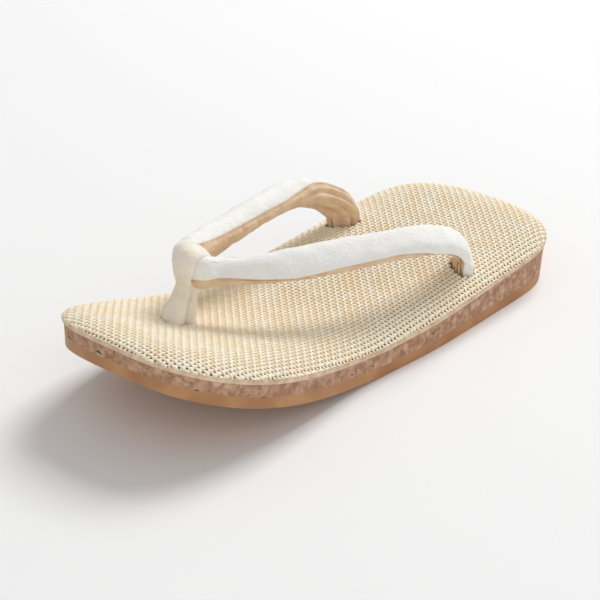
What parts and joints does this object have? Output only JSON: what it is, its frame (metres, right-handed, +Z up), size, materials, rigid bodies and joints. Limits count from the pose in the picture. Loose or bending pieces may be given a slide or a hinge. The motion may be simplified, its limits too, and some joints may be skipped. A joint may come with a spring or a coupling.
{
  "type": "zori sandal",
  "caption": "Flat thong sandal with a bent-up toe, crowned woven-look footbed, cork body, thin rubber outsole and a stuffed cloth V strap held by a cloth loop between the toes.",
  "frame": {"origin": "on the ground, under the middle of the sandal's bounding box", "axes": "+Y towards the toe, +X towards the wearer's inner side (right of a left foot), +Z up"},
  "size_m": [0.1034, 0.26, 0.065],
  "materials": {
    "outsole_rubber": "smooth amber rubber sheet, slightly waxy",
    "cork": "cork composition board, sanded, with pale chips and dark pits",
    "woven_cover": "open plain weave of pale straw-coloured thread",
    "strap_cloth": "off-white fine cotton, stuffed, cream lining",
    "loop_cloth": "off-white fine cotton, folded"
  },
  "bodies": {
    "root": {"outsole": "outsole_rubber", "midsole": "cork", "footbed": "woven_cover", "strap": "strap_cloth", "toe_post": "loop_cloth"}
  },
  "joints": []
}
